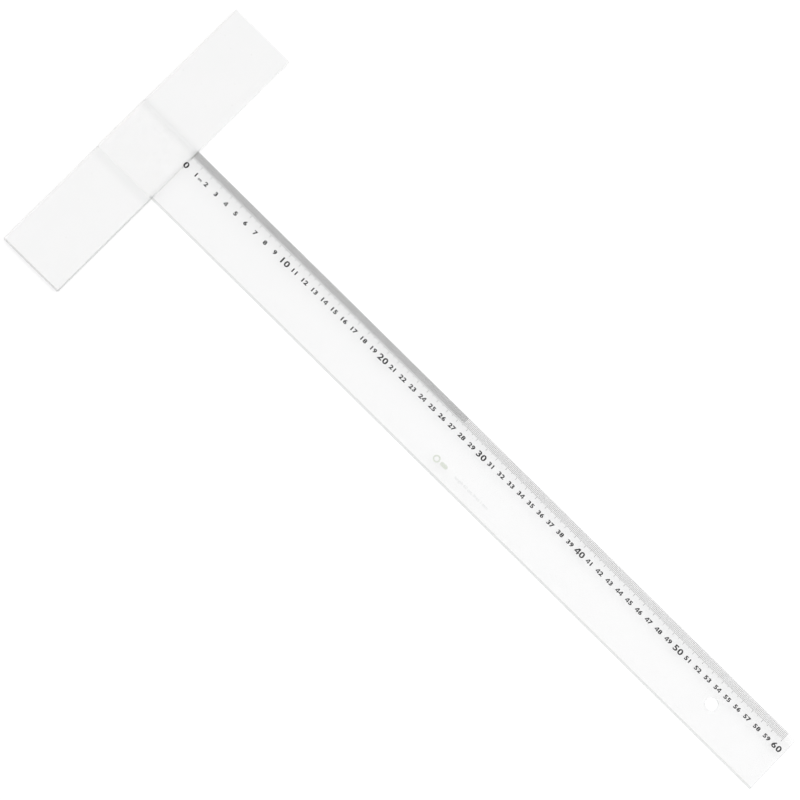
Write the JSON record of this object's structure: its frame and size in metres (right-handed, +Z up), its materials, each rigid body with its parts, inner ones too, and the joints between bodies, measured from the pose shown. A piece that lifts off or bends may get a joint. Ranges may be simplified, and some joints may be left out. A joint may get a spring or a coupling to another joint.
{
  "type": "t square",
  "caption": "Drafting T square: clear straightedge blade with a bevelled, graduated edge and a hanging hole, cemented across an opal head.",
  "frame": {"origin": "centre of the head's working face: on its inner long side, halfway along and halfway through the head's thickness, in line with the scale's zero and the blade's centreline", "axes": "+X out along the blade, away from the head; +Y across the blade, to its graduated edge; +Z up, from the head to the blade that lies on top of it"},
  "size_m": [0.6625, 0.24, 0.0081],
  "materials": {
    "opal_acrylic": "opal white sheet, polished",
    "clear_acrylic": "clear sheet, polished, faint cool tint",
    "acrylic_cement": "clear, set",
    "scale_ink": "printed ink, dull"
  },
  "bodies": {
    "root": {"head": "opal_acrylic", "blade": "clear_acrylic", "cement_film": "acrylic_cement", "cm_graduations": "scale_ink", "half_cm_graduations": "scale_ink", "mm_graduations": "scale_ink", "half_mm_graduations": "scale_ink"}
  },
  "joints": []
}
